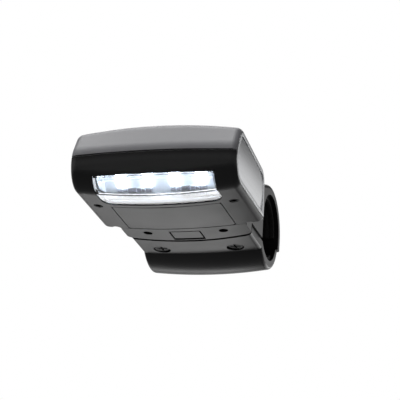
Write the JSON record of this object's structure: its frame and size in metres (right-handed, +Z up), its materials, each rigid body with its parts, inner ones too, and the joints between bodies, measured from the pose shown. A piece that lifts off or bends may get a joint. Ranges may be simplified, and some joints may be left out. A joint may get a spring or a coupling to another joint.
{
  "type": "barbecue grill light",
  "caption": "Battery grill light with a wrap-round lens, gray roof, silver end panels and a screw clamp that grips a round lid handle; hinged jaw, battery door and press button.",
  "frame": {"origin": "on the axis of the handle tube, half way along the clamp", "axes": "+X along the handle tube, -Y towards the lens, +Z up with the underside plate level"},
  "size_m": [0.086, 0.1454, 0.048],
  "materials": {
    "gray_shell": "satin moulded ABS",
    "black_shell": "fine textured ABS",
    "silver_trim": "silver painted ABS",
    "clear_lens": "clear polycarbonate",
    "black_rubber": "moulded rubber",
    "mirror_tray": "vacuum metallised",
    "circuit_board": "solder mask",
    "led_dome": "clear epoxy, lit",
    "cell_wrap": "plain wrapped cell",
    "steel": "nickel plated",
    "black_plastic_part": "moulded"
  },
  "bodies": {
    "lamp_head": {"upper_housing": "gray_shell", "lower_housing": "black_shell", "handle_saddle": "black_shell", "left_end_cap": "silver_trim", "right_end_cap": "silver_trim", "left_end_panel": "silver_trim", "right_end_panel": "silver_trim", "front_lens": "clear_lens", "lens_gasket": "black_rubber", "saddle_pad": "black_rubber", "reflector": "mirror_tray", "led_board": "circuit_board", "control_board": "circuit_board", "leds": "led_dome", "battery_cell_1": "cell_wrap", "battery_cell_2": "cell_wrap", "battery_cell_3": "cell_wrap", "battery_springs": "steel", "battery_contacts": "steel", "board_screws": "steel", "housing_screws": "steel", "saddle_screws": "steel", "clamp_nuts": "steel", "hinge_pin": "steel", "tilt_sensor": "steel", "tact_switch": "black_plastic_part"},
    "jaw": {"clamp_jaw": "black_shell", "jaw_pad": "black_rubber"},
    "clamp_screw_left": {"clamp_screw_left": "steel"},
    "clamp_screw_right": {"clamp_screw_right": "steel"},
    "battery_door": {"battery_door": "black_shell"},
    "battery_latch": {"battery_latch": "black_shell"},
    "power_button": {"power_button": "gray_shell"}
  },
  "joints": [
    {"name": "jaw_hinge", "type": "hinge", "parent": "lamp_head", "child": "jaw", "pos_m": [0, 0.0265, -0.006], "axis": [1, 0, 0], "range_deg": [0, 95]},
    {"name": "clamp_screw_left_turn", "type": "hinge", "parent": "jaw", "child": "clamp_screw_left", "pos_m": [-0.0202, -0.0215, -0.015], "axis": [0, 0, 1], "continuous": true},
    {"name": "clamp_screw_right_turn", "type": "hinge", "parent": "jaw", "child": "clamp_screw_right", "pos_m": [0.0202, -0.0215, -0.015], "axis": [0, 0, 1], "continuous": true},
    {"name": "battery_door_hinge", "type": "hinge", "parent": "lamp_head", "child": "battery_door", "pos_m": [0, -0.08495, -0.018], "axis": [-1, 0, 0], "range_deg": [0, 70]},
    {"name": "battery_latch_slide", "type": "slide", "parent": "lamp_head", "child": "battery_latch", "axis": [0, 1, 0], "range_m": [0, 0.002], "stiffness_N_per_m": 200},
    {"name": "power_button_press", "type": "slide", "parent": "lamp_head", "child": "power_button", "axis": [0, 0, -1], "range_m": [0, 0.0008], "stiffness_N_per_m": 500, "springref_m": -0.0004}
  ]
}
